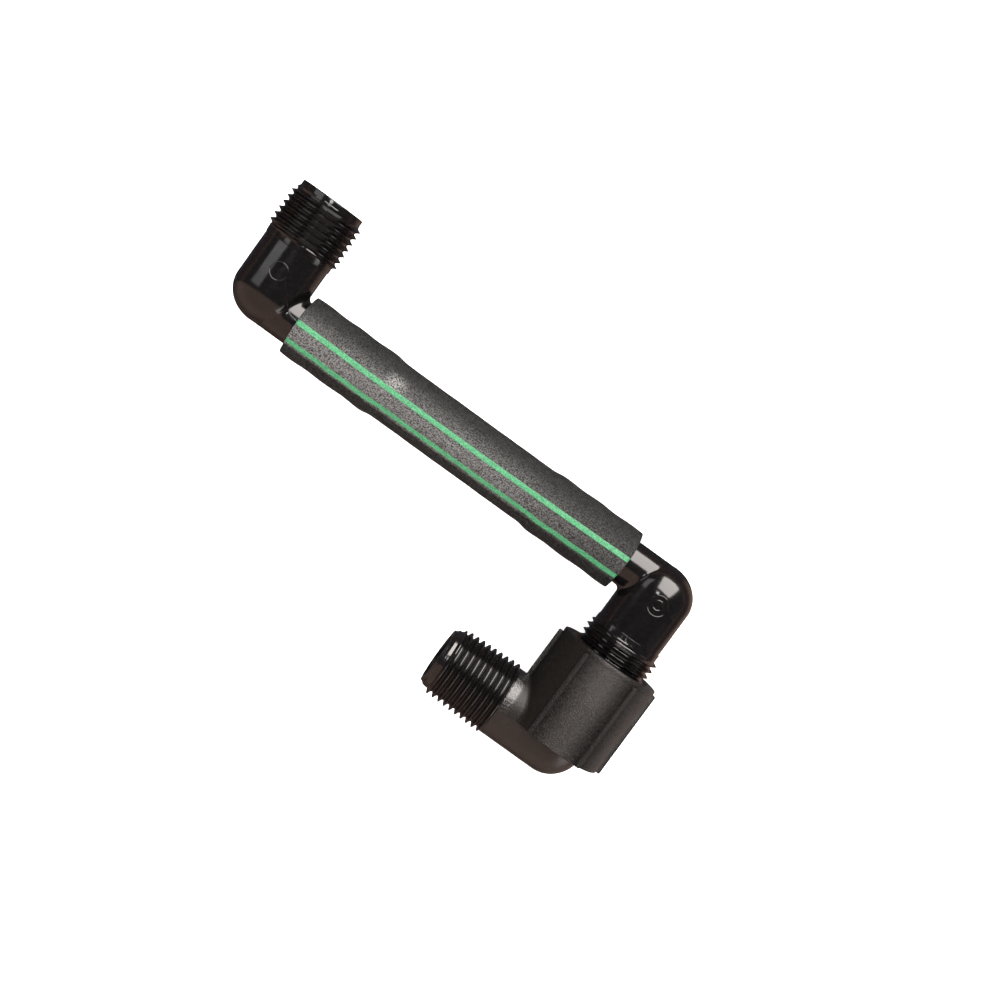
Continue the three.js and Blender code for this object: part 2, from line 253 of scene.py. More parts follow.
def surface_of(name, distance, low, high, step):
    """A closed mesh of the points where distance() is nought, found cell by cell."""
    axes = [np.arange(a, b + step, step) for a, b in zip(low, high)]
    inside = distance(np.stack(np.meshgrid(*axes, indexing="ij"), -1)) < 0
    shape = np.array(inside.shape) - 1
    corners = [
        inside[i : i + shape[0], j : j + shape[1], k : k + shape[2]]
        for i in (0, 1)
        for j in (0, 1)
        for k in (0, 1)
    ]
    mixed = np.any(corners, axis=0) & ~np.all(corners, axis=0)
    number = np.full(shape, -1)
    number[mixed] = np.arange(mixed.sum())
    points = np.array(low) + (np.argwhere(mixed) + 0.5) * step
    # One quad for each edge of the grid that crosses the surface, between the four cells round it.
    quads = []
    for axis in range(3):
        one, two = [a for a in range(3) if a != axis]
        ahead = np.roll(inside, -1, axis)
        crossing = inside != ahead
        crossing[tuple(slice(-1, None) if a == axis else slice(None) for a in range(3))] = False
        at = np.argwhere(crossing)
        e_one, e_two = np.eye(3, dtype=int)[one], np.eye(3, dtype=int)[two]
        ring = [number[tuple((at - shift).T)] for shift in (0 * e_one, e_one, e_one + e_two, e_two)]
        quad = np.stack(ring, 1)
        flip = inside[tuple(at.T)] ^ (axis == 1)
        quad[flip] = quad[flip][:, ::-1]
        quads.append(quad)
    quads = np.concatenate(quads)
    edges = np.concatenate([quads[:, [k, (k + 1) % 4]] for k in range(4)])
    edges = np.unique(np.sort(edges, 1), axis=0)
    degree = np.bincount(edges.ravel(), minlength=len(points))[:, None]
    # The points are spread evenly and drawn back, by turns.
    points = drawn_onto(points, distance, 4)
    for _ in range(6):
        total = np.zeros_like(points)
        np.add.at(total, edges[:, 0], points[edges[:, 1]])
        np.add.at(total, edges[:, 1], points[edges[:, 0]])
        points = drawn_onto(0.5 * points + 0.5 * total / degree, distance, 2)
    return make_object(name, drawn_onto(points, distance, 3), quads.tolist())


def gradient(distance, points):
    """The direction in which distance() grows fastest, and how fast."""
    small = 1e-3
    steps = np.eye(3) * small
    return np.stack([(distance(points + s) - distance(points - s)) / (2 * small) for s in steps], -1)


def drawn_onto(points, distance, rounds):
    """Moves points along the gradient until they lie where distance() is nought."""
    for _ in range(rounds):
        slope = gradient(distance, points)
        square = np.maximum((slope**2).sum(-1, keepdims=True), 1e-4)
        points = points - distance(points)[..., None] * slope / square
    return points


def filleted(first, second, slope_first, slope_second, rounding):
    """The union of two distances with a rolled fillet, which fades where the surfaces are tangent."""
    cosine = (slope_first * slope_second).sum(-1)
    cosine /= np.linalg.norm(slope_first, axis=-1) * np.linalg.norm(slope_second, axis=-1) + 1e-9
    share = (1 - np.sqrt(np.clip((1 + cosine) / 2, 0, 1))) / (1 - math.sqrt(0.5))
    r = rounding * share
    near = np.sqrt(np.maximum(r - first, 0) ** 2 + np.maximum(r - second, 0) ** 2)
    return np.maximum(r, np.minimum(first, second)) - near


def finish_piece(piece, turn, origin, body, stands_for, material, sharp_degrees=32):
    """Places a piece made in millimetres, shades it, hangs it on its body and hides the CAD part it
    stands for.
    """
    mesh = piece.data
    mesh.transform(Matrix.Translation(Vector(origin)) @ turn @ Matrix.Scale(MM, 4))
    mesh.update()
    mesh.shade_smooth()
    mesh.set_sharp_from_angle(angle=math.radians(sharp_degrees))
    mesh.materials.clear()
    mesh.materials.append(material)
    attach(piece, body)
    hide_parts(stands_for)
    return piece


NO_TURN = Matrix.Identity(4)
HALF_TURN = Matrix.Rotation(math.pi, 4, "Z")
TO_X = Matrix.Rotation(-math.pi / 2, 4, "Z")  # turns +Y to +X
TO_MINUS_X = Matrix.Rotation(math.pi / 2, 4, "Z")


def laid(piece, turn):
    """The piece with its mesh turned."""
    piece.data.transform(turn)
    return piece


# ---------------------------------------------------------------- insert elbows

# Sections of a ridge, as (share of its pitch, share of its height).
SHARP_THREAD = [
    (0.0, 0.0),
    (0.07, 0.01),
    (0.16, 0.03),
    (0.25, 0.14),
    (0.42, 0.55),
    (0.56, 0.95),
    (0.585, 1.0),
    (0.615, 1.0),
    (0.64, 0.95),
    (0.78, 0.55),
    (0.95, 0.14),
]
SPIRAL_BARB = [(0.0, 0.0), (0.04, 0.3), (0.12, 1.0), (0.2, 1.0), (0.5, 0.5), (0.85, 0.0)]


def stem_distance(p):
    """Of the stem, a bar along +Y that ends in a flattened dome."""
    below = np.minimum(p[..., 1] - DOME_CENTRE, 0)
    across = p[..., 0] ** 2 + p[..., 2] ** 2
    full = np.sqrt(across / STEM_R**2 + below**2 / DOME_HEIGHT**2) + 1e-9
    scale = np.sqrt(across / STEM_R**4 + below**2 / DOME_HEIGHT**4) + 1e-9
    return full * (full - 1) / scale


def shank_distance(p):
    """Of the shank, a bar along +X with a ball at the origin."""
    behind = np.minimum(p[..., 0], 0)
    return np.sqrt(behind**2 + p[..., 1] ** 2 + p[..., 2] ** 2) - SHANK_R


def insert_distance(p):
    """Of an insert elbow's bend: stem and shank with a fillet, cut off inside the parts added later."""
    stem, shank = stem_distance(p), shank_distance(p)
    slopes = gradient(stem_distance, p), gradient(shank_distance, p)
    joined = filleted(stem, shank, *slopes, NECK_FILLET)
    cut = np.maximum(p[..., 1] - (COLLAR_START + 1.0), p[..., 0] - (SHANK_JOIN + 1.0))
    return np.maximum(joined, cut)


def insert_elbow(name, phase, marks):
    """An insert elbow: bend at the origin, barb along +X, stem along +Y; phase shifts the thread."""
    low = (-STEM_R - 1, -STEM_R - 1, -STEM_R - 1)
    high = (SHANK_JOIN + 2, COLLAR_START + 3, STEM_R + 1)
    piece = surface_of(name, insert_distance, low, high, 0.36)
    start, end = INSERT_THREAD
    parts = [
        turned("collar", [
            (0, COLLAR_START, 0), (COLLAR_R, COLLAR_START, 0.1), (COLLAR_R, start, 0.05), (0, start, 0),
        ]),
        helical_bar(
            "thread", start - OVERLAP, end, PITCH, SHARP_THREAD,
            lambda y: INSERT_ROOT - (y - start) * TAPER, INSERT_RIDGE,
            (0.5 * PITCH, 0.7 * PITCH), phase,
        ),
        turned("pilot", [
            (0, end - OVERLAP, 0), (PILOT_R, end - OVERLAP, 0), (PILOT_R, INSERT_END, 0.3),
            (0, INSERT_END, 0),
        ]),
        laid(turned("shank", [
            (0, SHANK_JOIN, 0), (SHANK_R - SLIVER, SHANK_JOIN, 0),
            (SHANK_R - SLIVER, BARB_START - 1, 0.2), (BARB_ROOT, BARB_START, 0),
            (BARB_ROOT, BARB_START + 0.5, 0), (0, BARB_START + 0.5, 0),
        ], 90), TO_X),
        laid(helical_bar(
            "barb", BARB_START, BARB_END - 2, BARB_PITCH, SPIRAL_BARB,
            lambda y: BARB_ROOT, BARB_RIDGE, (BARB_PITCH / 4, BARB_PITCH / 4), 0.0, 72,
        ), TO_X),
        laid(turned("nose", [
            (0, BARB_END - 2.6, 0), (BARB_ROOT - SLIVER, BARB_END - 2.6, 0),
            (BARB_ROOT - SLIVER, BARB_END - 1, 0.4), (BARB_ROOT - 0.5, BARB_END, 0.2), (0, BARB_END, 0),
        ], 72), TO_X),
    ]
    for part in parts:
        combine(piece, part, "UNION")
    bores = [
        turned("water", [
            (0, -BARB_BORE, 0), (BARB_BORE * 0.7, -BARB_BORE * 0.7, 1), (BARB_BORE, 0, 2),
            (INSERT_BORE, 4, 0.5), (INSERT_BORE, INSERT_END - 0.4, 0),
            (INSERT_BORE + 0.6, INSERT_END + 0.2, 0), (INSERT_BORE + 0.6, INSERT_END + 1, 0),
            (0, INSERT_END + 1, 0),
        ], 90),
        laid(turned("barb_water", [
            (0, 0, 0), (BARB_BORE, 0, 0), (BARB_BORE, BARB_END + 1, 0), (0, BARB_END + 1, 0),
        ], 72), TO_X),
    ]
    for bore in bores:
        combine(piece, bore, "DIFFERENCE")
    for mark in marks:
        combine(piece, mark, "UNION")
    return piece


def surface_bead(name, path, thickness, closed):
    """A thin raised line along a path that lies on a surface, as a mould leaves."""
    sides = 8
    count = len(path)
    points, faces = [], []
    for i, here in enumerate(path):
        back = path[(i - 1) % count] if closed or i else here
        ahead = path[(i + 1) % count] if closed or i < count - 1 else here
        along = Vector(ahead) - Vector(back)
        along.normalize()
        side = along.cross(Vector((0, 0, 1))).normalized()
        rise = side.cross(along).normalized()
        for k in range(sides):
            turn = 2 * math.pi * k / sides
            points.append(Vector(here) + thickness * (math.cos(turn) * side + math.sin(turn) * rise))
    for i in range(count if closed else count - 1):
        n = (i + 1) % count
        for k in range(sides):
            m = (k + 1) % sides
            faces.append((i * sides + k, n * sides + k, n * sides + m, i * sides + m))
    if not closed:
        faces.append(tuple(range(sides)))
        faces.append(tuple((count - 1) * sides + k for k in reversed(range(sides))))
    return make_object(name, points, faces)


def stem_top(x, y):
    """The height of an insert elbow's upper side over a place in its plane."""
    guess = np.array([[x, y, STEM_R - 0.5]])
    for _ in range(20):
        slope = gradient(insert_distance, guess)[0, 2]
        guess[0, 2] -= insert_distance(guess)[0] / max(slope, 0.2)
    return float(guess[0, 2])


def ring_mark(name, x, y, radius, thickness=0.1, count=48):
    """The round witness line that a mould pin leaves on the crown of an insert elbow."""
    angles = [2 * math.pi * k / count for k in range(count)]
    places = [(x + radius * math.cos(a), y + radius * math.sin(a)) for a in angles]
    return surface_bead(name, [(u, v, stem_top(u, v)) for u, v in places], thickness, True)


def smooth_path(corners, steps=8):
    """Points along a Catmull-Rom curve through the given corners."""
    points = [np.array(c, float) for c in corners]
    points = [2 * points[0] - points[1], *points, 2 * points[-1] - points[-2]]
    path = []
    for a, b, c, d in zip(points, points[1:], points[2:], points[3:]):
        for t in np.arange(steps) / steps:
            bend = 2 * a - 5 * b + 4 * c - d
            path.append(0.5 * (2 * b + (c - a) * t + bend * t**2 + (3 * b - a - 3 * c + d) * t**3))
    return [*path, points[-2]]


def parting_line(name, corners):
    """The thin raised line where two parts of the mould met."""
    path = [(u, v, stem_top(u, v)) for u, v in smooth_path(corners)]
    return surface_bead(name, path, PARTING_BEAD, False)


# ---------------------------------------------------------------- street elbow


def socket_distance(p):
    """Of the socket, a bar along +Y with its lower edge rounded."""
    edge = SOCKET_EDGE
    across = np.sqrt(p[..., 0] ** 2 + p[..., 2] ** 2) - SOCKET_R + edge
    down = np.maximum(-SOCKET_DROP - p[..., 1], p[..., 1] - (SOCKET_LENGTH - 0.6)) + edge
    outside = np.sqrt(np.maximum(across, 0) ** 2 + np.maximum(down, 0) ** 2)
    return outside + np.minimum(np.maximum(across, down), 0) - edge


def arm_distance(p):
    """Of the arm's upper side, a bar along -X that ends under the socket."""
    ahead = np.maximum(p[..., 0], 0)
    return np.sqrt(ahead**2 + p[..., 1] ** 2 + p[..., 2] ** 2) - ARM_TOP_R


def street_distance(p):
    """Of the socket and the arm's upper side with a fillet, cut off inside the keel and the thread."""
    socket, arm = socket_distance(p), arm_distance(p)
    slopes = gradient(socket_distance, p), gradient(arm_distance, p)
    joined = filleted(socket, arm, *slopes, CREASE_FILLET)
    below = -p[..., 1] - SOCKET_DROP - 0.8
    return np.maximum(np.maximum(joined, -p[..., 0] - (STREET_THREAD[0] + 0.4)), below)


ROUND_THREAD = [
    (0.0, 0.0),
    (0.1, 0.02),
    (0.19, 0.12),
    (0.3, 0.42),
    (0.4, 0.72),
    (0.48, 0.93),
    (0.55, 1.0),
    (0.62, 0.93),
    (0.7, 0.72),
    (0.8, 0.42),
    (0.91, 0.12),
]


def keel():
    """The arm's lower side, from another part of the mould, whose edge stands proud all along."""
    quarter = [k * math.pi / 32 for k in range(17)]
    dome = [(ARM_R * math.sin(a), -KEEL_REACH * math.cos(a), 0) for a in quarter]
    end = STREET_THREAD[0]
    bar = laid(turned("keel", dome + [(ARM_R, end, 0.15), (0, end, 0)], 180), TO_MINUS_X)
    size = 60.0
    top = -SOCKET_DROP
    corners = [(x, y, z) for y in (top - size, top) for x in (-size, size) for z in (-size, size)]
    sides = [(0, 2, 3, 1), (4, 5, 7, 6), (0, 1, 5, 4), (2, 6, 7, 3), (0, 4, 6, 2), (1, 3, 7, 5)]
    return combine(bar, make_object("below", corners, sides), "INTERSECT")


def rib(n):
    """One grip rib, counted from +X, with its long edges rounded."""
    inner, edge = SOCKET_R - 1, RIB_EDGE
    section = rounded_outline([
        (inner, -RIB_WIDTH / 2, 0), (RIB_R, -RIB_WIDTH / 2, edge), (RIB_R, RIB_WIDTH / 2, edge),
        (inner, RIB_WIDTH / 2, 0),
    ], 3)
    top = SOCKET_LENGTH - RIM_DEPTH - 0.05
    foot = SLIVER - SOCKET_DROP
    levels = [(foot, edge), (foot + edge, 0), (top - edge, 0), (top, edge)]
    middle = np.array([(inner + RIB_R) / 2, 0])
    points, faces = [], []
    for height, shrink in levels:
        for corner in section:
            inward = np.sign(middle - corner) * np.array([shrink * (corner[0] > middle[0]), shrink])
            x, z = corner + inward * (shrink > 0)
            points.append((x, height, z))
    size = len(section)
    for i in range(len(levels) - 1):
        for k in range(size):
            m = (k + 1) % size
            faces.append((i * size + k, (i + 1) * size + k, (i + 1) * size + m, i * size + m))
    faces.append(tuple(range(size)))
    faces.append(tuple((len(levels) - 1) * size + k for k in reversed(range(size))))
    made = make_object("rib", points, faces)
    made.data.transform(Matrix.Rotation(2 * math.pi * n / RIB_COUNT, 4, "Y"))
    return made


def street_elbow(name, phase):
    """The street elbow: axes cross at the origin, socket along +Y, arm along -X."""
    low = (-STREET_THREAD[0] - 2, -SOCKET_DROP - 3, -SOCKET_R - 1)
    high = (SOCKET_R + 1, SOCKET_LENGTH + 1, SOCKET_R + 1)
    piece = surface_of(name, street_distance, low, high, 0.42)
    start, end = STREET_THREAD
    rim = SOCKET_LENGTH
    end_root = STREET_ROOT - (end - start) * TAPER
    parts = [
        turned("rim", [
            (0, rim - RIM_DEPTH, 0), (RIM_R, rim - RIM_DEPTH, 0.05), (RIM_R, rim, 0.3), (0, rim, 0),
        ], 180),
        laid(helical_bar(
            "thread", start - OVERLAP, end, PITCH, ROUND_THREAD,
            lambda y: STREET_ROOT - (y - start) * TAPER, STREET_RIDGE,
            (0.5 * PITCH, 0.6 * PITCH), phase,
        ), TO_MINUS_X),
        laid(turned("lead_in", [
            (0, end - OVERLAP, 0), (end_root - 0.03, end - OVERLAP, 0), (end_root - 0.06, end + 0.6, 0.4),
            (LEAD_IN_R + 0.12, ARM_LENGTH - 0.5, 0.3), (LEAD_IN_R, ARM_LENGTH, 0.15), (0, ARM_LENGTH, 0),
        ]), TO_MINUS_X),
    ]
    parts += [keel()] + [rib(n) for n in range(RIB_COUNT)]
    for part in parts:
        combine(piece, part, "UNION")
    floor = rim - CHAMBER_DEPTH
    bores = [
        turned("chamber", [
            (0, -STREET_BORE, 0), (STREET_BORE * 0.7, -STREET_BORE * 0.7, 1), (STREET_BORE, 0, 2),
            (STREET_BORE, floor - 1, 0), (CHAMBER_R - CHAMBER_DEPTH * TAPER, floor, 0.4),
            (CHAMBER_R, rim - COUNTERSINK, 0.1), (CHAMBER_R + COUNTERSINK, rim, 0),
            (CHAMBER_R + COUNTERSINK, rim + 1, 0), (0, rim + 1, 0),
        ]),
        laid(turned("inlet", [
            (0, 0, 0), (STREET_BORE, 0, 0), (STREET_BORE, ARM_LENGTH - 0.3, 0),
            (STREET_BORE + 0.5, ARM_LENGTH + 0.2, 0), (STREET_BORE + 0.5, ARM_LENGTH + 1, 0),
            (0, ARM_LENGTH + 1, 0),
        ], 90), TO_MINUS_X),
    ]
    for bore in bores:
        combine(piece, bore, "DIFFERENCE")
    return piece


# ---------------------------------------------------------------- swing pipe


def pipe_radius(x):
    """The pipe's outside radius at x from its middle, wider over both barbs."""
    from_end = PIPE_HALF - abs(x)
    share = smoothstep((BULGE_LENGTH + BULGE_RAMP / 2 - from_end) / BULGE_RAMP)
    lobes = LOBE_HEIGHT * math.cos(2 * math.pi * (from_end - FIRST_LOBE) / LOBE_LENGTH)
    return PIPE_R + (BULGE_R - PIPE_R + lobes - LOBE_HEIGHT) * share


def unevenness(x, turn):
    """How far the pipe's skin stands out beyond its radius."""
    return 0.02 * math.sin(0.31 * x + 2 * turn) + 0.015 * math.sin(0.83 * x - 3 * turn)


def end_shift(x, turn, half):
    """How far the uneven cut at an end, which is half from the middle, moves the skin along."""
    return 0.09 * math.sin(3 * turn + 0.7) * smoothstep((abs(x) - half + 2) / 2) * np.sign(x)


def stripe_turn(x):
    """How far the stripes have turned round the pipe at x, in degrees."""
    share = x / PIPE_HALF
    return STRIPE_DRIFT * share + STRIPE_BOW * share * share


def pipe_columns():
    """Angles round the pipe, in degrees, with columns along both edges of each stripe's groove."""
    half = math.degrees(STRIPE_HALF_WIDTH / PIPE_R)
    gap = math.degrees(SLIVER / PIPE_R)
    wall = math.degrees(0.01 / PIPE_R)
    columns = [(angle, False) for angle in np.arange(-180, 180, 2.5)]
    for middle in STRIPE_ANGLES.values():
        edge = half + gap
        columns = [c for c in columns if abs(c[0] - middle) > edge + 0.8]
        for side in (-1, 1):
            columns.append((middle + side * (edge + wall), False))
            columns.append((middle + side * edge, True))
        columns.append((middle, True))
    return sorted(columns)


def swing_pipe(name):
    """The pipe with a groove for each stripe, as one closed skin round the wall."""
    columns = pipe_columns()
    half, edge = PIPE_HALF, PIPE_EDGE
    quarter = np.linspace(0, math.pi / 2, 5)
    stations = np.concatenate([
        [-half + edge * (1 - math.cos(t)) for t in quarter[:-1]],
        np.linspace(-half + edge, half - edge, 260),
        [half - edge * (1 - math.cos(t)) for t in quarter[::-1][1:]],
    ])
    rings = []
    for x in stations:
        inset = max(abs(x) - (half - edge), 0)
        rings.append((x, pipe_radius(x) - edge + math.sqrt(max(edge**2 - inset**2, 0)), True))
    bore = [
        (half, MOUTH_BORE + 0.15), (half - 0.15, MOUTH_BORE), (half - 2, MOUTH_BORE),
        (half - 3, BULGE_BORE), (half - BULGE_LENGTH - 1.8, BULGE_BORE),
        (half - BULGE_LENGTH - 5.4, PIPE_BORE),
    ]
    rings += [(x, radius, False) for x, radius in bore]
    rings += [(-x, radius, False) for x, radius in reversed(bore)]
    points = []
    for x, radius, outer in rings:
        for angle, sunk in columns:
            turn = math.radians(angle + stripe_turn(x))
            r = radius + unevenness(x, turn) * outer - (STRIPE_THICKNESS + SLIVER) * (sunk and outer)
            points.append((x + end_shift(x, turn, half), r * math.sin(turn), r * math.cos(turn)))
    size, count = len(columns), len(rings)
    faces = []
    for i in range(count):
        for k in range(size):
            n, m = (i + 1) % count, (k + 1) % size
            faces.append((i * size + k, n * size + k, n * size + m, i * size + m))
    return make_object(name, points, faces)


def pipe_stripe(name, angle):
    """One stripe, which fills its groove, flush with the pipe and a little short of its ends."""
    half = PIPE_HALF - 0.12
    across = np.linspace(-1, 1, 5)
    half_angle = math.degrees(STRIPE_HALF_WIDTH / PIPE_R)
    points = []
    stations = np.linspace(-half, half, 300)
    for x in stations:
        for top in (False, True):
            for share in across if not top else across[::-1]:
                turn = math.radians(angle + stripe_turn(x) + share * half_angle)
                end_drop = 0.25 * smoothstep((abs(x) - half + 0.3) / 0.3)
                r = pipe_radius(x) + unevenness(x, turn) - (end_drop if top else STRIPE_THICKNESS)
                points.append((x + end_shift(x, turn, half), r * math.sin(turn), r * math.cos(turn)))
    size = 2 * len(across)
    faces = []
    for i in range(len(stations) - 1):
        for k in range(size):
            m = (k + 1) % size
            faces.append((i * size + k, i * size + m, (i + 1) * size + m, (i + 1) * size + k))
    faces.append(tuple(reversed(range(size))))
    faces.append(tuple((len(stations) - 1) * size + k for k in range(size)))
    return make_object(name, points, faces)


# ---------------------------------------------------------------- materials


def new_material(name):
    """A new material with its node tree and its shader."""
    material = bpy.data.materials.new(name)
    material.use_nodes = True
    tree = material.node_tree
    shader = tree.nodes["Principled BSDF"]
    shader.inputs["IOR"].default_value = 1.5
    return material, tree, shader


def node(tree, kind, **values):
    """A node with its inputs and properties set by name."""
    made = tree.nodes.new(kind)
    for key, value in values.items():
        if key in made.inputs:
            made.inputs[key].default_value = value
        else:
            setattr(made, key, value)
    return made


def place_of(tree, coordinates="Object"):
    """The x, y and z of the point that is shaded."""
    place = node(tree, "ShaderNodeTexCoord")
    parts = node(tree, "ShaderNodeSeparateXYZ")
    tree.links.new(place.outputs[coordinates], parts.inputs["Vector"])
    return parts.outputs


def distance_from(tree, axis_x, height):
    """How far the point that is shaded is from a line along Y."""
    place = node(tree, "ShaderNodeTexCoord")
    flat = node(tree, "ShaderNodeVectorMath", operation="MULTIPLY")
    flat.inputs[1].default_value = (1, 0, 1)
    apart = node(tree, "ShaderNodeVectorMath", operation="DISTANCE")
    apart.inputs[1].default_value = (axis_x, 0, height)
    tree.links.new(place.outputs["Object"], flat.inputs[0])
    tree.links.new(flat.outputs["Vector"], apart.inputs[0])
    return apart.outputs["Value"]


def noise(tree, scale, detail=3.0, roughness=0.55, stretch=(1, 1, 1)):
    """A noise texture with scale features for each metre."""
    place = node(tree, "ShaderNodeTexCoord")
    mapping = node(tree, "ShaderNodeMapping")
    mapping.inputs["Scale"].default_value = stretch
    texture = node(tree, "ShaderNodeTexNoise", Scale=scale, Detail=detail, Roughness=roughness)
    tree.links.new(place.outputs["Object"], mapping.inputs["Vector"])
    tree.links.new(mapping.outputs["Vector"], texture.inputs["Vector"])
    return texture.outputs["Fac"]


def ramp(tree, source, stops):
    """A colour ramp of (position, value) stops, where a value is a grey or a colour."""
    made = node(tree, "ShaderNodeValToRGB")
    elements = made.color_ramp.elements
    while len(elements) < len(stops):
        elements.new(0.5)
    for element, (position, value) in zip(elements, stops):
        element.position = position
        element.color = (*value, 1) if isinstance(value, tuple) else (value, value, value, 1)
    tree.links.new(source, made.inputs["Fac"])
    return made.outputs["Color"]


def ranged(tree, source, low, high):
    """0 where source is low and 1 where it is high, with a smooth step between."""
    made = node(tree, "ShaderNodeMapRange", interpolation_type="SMOOTHSTEP")
    made.inputs["From Min"].default_value = low
    made.inputs["From Max"].default_value = high
    tree.links.new(source, made.inputs["Value"])
    return made.outputs["Result"]


def blend(tree, share, first, second, kind="MIX"):
    """first where share is 0 and second where it is 1; share may be a plain number."""
    made = node(tree, "ShaderNodeMix", data_type="RGBA", blend_type=kind)
    for socket, value in zip((made.inputs[0], made.inputs[6], made.inputs[7]), (share, first, second)):
        if isinstance(value, bpy.types.NodeSocket):
            tree.links.new(value, socket)
        else:
            socket.default_value = value
    return made.outputs[2]


def product(tree, first, *others):
    """All the given shares multiplied with each other."""
    for other in others:
        first = blend(tree, 1.0, first, other, "MULTIPLY")
    return first


def lighter(tree, first, second):
    """The greater of two shares or colours, channel by channel."""
    return blend(tree, 1.0, first, second, "LIGHTEN")


def grey(value):
    """A colour with the same value in each channel."""
    return (value, value, value, 1)


def bump(tree, height, strength, distance, under=None):
    """The normal of a surface raised by height, on top of the bump under it if there is one."""
    made = node(tree, "ShaderNodeBump", Strength=strength, Distance=distance)
    tree.links.new(height, made.inputs["Height"])
    if under is not None:
        tree.links.new(under, made.inputs["Normal"])
    return made.outputs["Normal"]


def gloss_black():
    """Moulded engineering plastic, nearly polished, with a faint flow unevenness off the threads."""
    material, tree, shader = new_material("gloss_black")
    dark, light = (0.0018, 0.0016, 0.0017), (0.003, 0.0027, 0.0027)
    colour = ramp(tree, noise(tree, 900), [(0.35, dark), (0.7, light)])
    tree.links.new(colour, shader.inputs["Base Color"])
    _, y, _ = place_of(tree)
    start = (INSERT_THREAD[0] - 0.8) * MM
    threads = [
        ranged(tree, y, axis_y + side * start, axis_y + side * (start + 0.4 * MM)) for side in (1, -1)
    ]
    thread = lighter(tree, *threads)
    rough = ramp(tree, noise(tree, 420, 4), [(0.3, 0.12), (0.75, 0.18)])
    thread_rough = ramp(tree, noise(tree, 900, 2), [(0.3, 0.1), (0.75, 0.14)])
    tree.links.new(blend(tree, thread, rough, thread_rough), shader.inputs["Roughness"])
    flow = blend(tree, thread, noise(tree, 240, 2), grey(0.5))
    soft = bump(tree, flow, 0.1, 0.0003)
    fine = bump(tree, noise(tree, 4000, 3), 0.04, 0.00003, soft)
    tree.links.new(fine, shader.inputs["Normal"])
    return material


def satin_black():
    """Moulded polyethylene: pebbled on the socket, almost smooth on the arm, polished on the thread.

    The socket's sheen changes from panel to panel. The two ribs on its upper side stand about
    7.5 mm either side of its axis. The pebbles right of the left rib have lighter tips, their
    glints painted into the colour, and the ribs are painted a little lighter, a painted highlight.
    """
    material, tree, shader = new_material("satin_black")
    x, y, _ = place_of(tree)

    def across(first, last):
        """0 at the first and 1 at the last place, in millimetres from the socket's axis towards +X."""
        return ranged(tree, x, lower_stem_x + first * MM, lower_stem_x + last * MM)

    on_thread = across(0.1 - STREET_THREAD[0], -0.1 - STREET_THREAD[0])
    on_socket = across(-15.2, -14.2)
    crown = product(tree, across(-7.0, -0.5), across(6.4, 1.0))
    flank = across(8.5, 13.5)
    keel_edge = socket_rim_y - (SOCKET_LENGTH + SOCKET_DROP) * MM
    above_keel = ranged(tree, y, keel_edge - 0.05 * MM, keel_edge + 0.05 * MM)
    pebbled = product(tree, across(-8.2, -7.4), above_keel)
    panels = product(tree, on_socket, above_keel)
    from_axis = distance_from(tree, lower_stem_x, axis_z)
    standing_out = ranged(tree, from_axis, (SOCKET_R + 0.5) * MM, (RIB_R - 0.25) * MM)
    on_rib = product(tree, panels, standing_out)

    pebbles = ramp(tree, noise(tree, 2600, 1), [(0.42, 0.0), (0.6, 1.0)])
    dark, light = (0.004, 0.0035, 0.0031), (0.0065, 0.0058, 0.0051)
    plain = ramp(tree, noise(tree, 1400), [(0.3, dark), (0.75, light)])
    # Pebbles with lighter tips, right of the left rib: real pebbling, with its glints painted into the
    # colour.
    glinting_pebbles = blend(tree, pebbles, plain, (0.013, 0.0122, 0.0115, 1))
    colour = blend(tree, pebbled, plain, glinting_pebbles)
    # Painted highlight: the ribs a touch lighter than the panels.
    colour = blend(tree, on_rib, colour, (0.007, 0.0067, 0.0064, 1))
    colour = blend(tree, on_thread, colour, (0.003, 0.0026, 0.0026, 1))
    tree.links.new(colour, shader.inputs["Base Color"])

    cloudy = noise(tree, 1000, 4)
    arm_rough = ramp(tree, cloudy, [(0.3, 0.2), (0.75, 0.26)])
    keel_rough = ramp(tree, cloudy, [(0.3, 0.34), (0.75, 0.42)])
    pebbled_rough = ramp(tree, cloudy, [(0.3, 0.5), (0.75, 0.6)])
    rough = blend(tree, above_keel, keel_rough, arm_rough)
    rough = blend(tree, on_socket, rough, keel_rough)
    rough = blend(tree, pebbled, rough, pebbled_rough)
    rough = blend(tree, on_thread, rough, grey(0.16))
    tree.links.new(rough, shader.inputs["Roughness"])

    sheen = ramp(tree, lighter(tree, crown, flank), [(0.0, 0.1), (1.0, 0.64)])
    sheen = blend(tree, on_rib, sheen, grey(0.25))
    shine = blend(tree, panels, ramp(tree, above_keel, [(0.0, 0.5), (1.0, 0.75)]), sheen)
    tree.links.new(shine, shader.inputs["Specular IOR Level"])

    down_socket = ranged(tree, y, socket_rim_y - 5 * MM, socket_rim_y - 20 * MM)
    panel_grain = ramp(tree, down_socket, [(0.0, 0.15), (1.0, 1.0)])
    grained = blend(tree, pebbled, blend(tree, on_socket, grey(0.12), grey(0.1)), panel_grain)
    grained = blend(tree, above_keel, grey(0.05), grained)
    grained = blend(tree, on_thread, grained, grey(0.0))
    coarse = bump(tree, product(tree, pebbles, grained), 0.9, 0.00034)
    fine = bump(tree, noise(tree, 5000, 2), 0.12, 0.00004, coarse)
    tree.links.new(fine, shader.inputs["Normal"])
    return material


def grain(tree, shader, strength):
    """The matt, finely broken skin of extruded polyethylene."""
    rough = ramp(tree, noise(tree, 1300, 3), [(0.3, 0.34), (0.75, 0.5)])
    tree.links.new(rough, shader.inputs["Roughness"])
    drawn = bump(tree, noise(tree, 700, 3, 0.6, (0.12, 1, 1)), 0.3, 0.00008)
    broken = bump(tree, noise(tree, 3200, 2, 0.7), strength, 0.0003, drawn)
    tree.links.new(broken, shader.inputs["Normal"])


